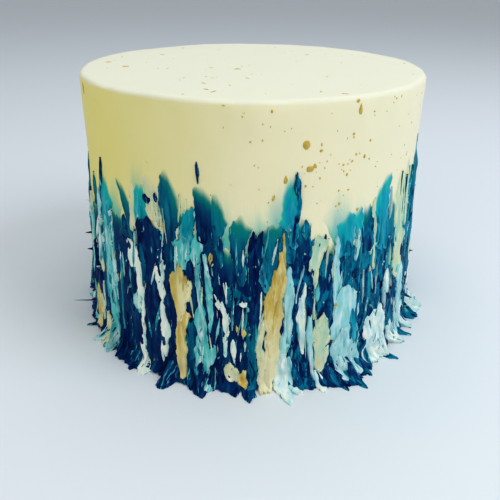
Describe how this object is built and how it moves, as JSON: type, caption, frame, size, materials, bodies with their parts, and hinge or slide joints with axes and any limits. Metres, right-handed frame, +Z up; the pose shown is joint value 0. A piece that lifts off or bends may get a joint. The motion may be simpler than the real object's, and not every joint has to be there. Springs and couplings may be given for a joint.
{
  "type": "lemon cake",
  "caption": "Tall round lemon cake coated in smooth buttercream, with a band of vertical palette-knife buttercream strokes round its lower half.",
  "frame": {"origin": "middle of the flat base that the cake rests on", "axes": "+Z up, -Y out of the front of the cake, the side with the strokes that the picture shows"},
  "size_m": [0.1885, 0.1971, 0.1265],
  "materials": {
    "lemon_buttercream": "smooth pale lemon buttercream coat, soft satin",
    "navy_buttercream": "navy buttercream strokes, satin with knife drag marks",
    "teal_buttercream": "teal and petrol buttercream strokes, satin with knife drag marks",
    "aqua_buttercream": "pale aqua buttercream strokes, satin with knife drag marks",
    "ivory_buttercream": "ivory buttercream strokes, satin with knife drag marks",
    "gold_buttercream": "ochre gold buttercream strokes, satin with knife drag marks",
    "gold_lustre": "thin splashes of edible gold lustre paint"
  },
  "bodies": {
    "root": {"lemon_cake": "lemon_buttercream"}
  },
  "joints": []
}
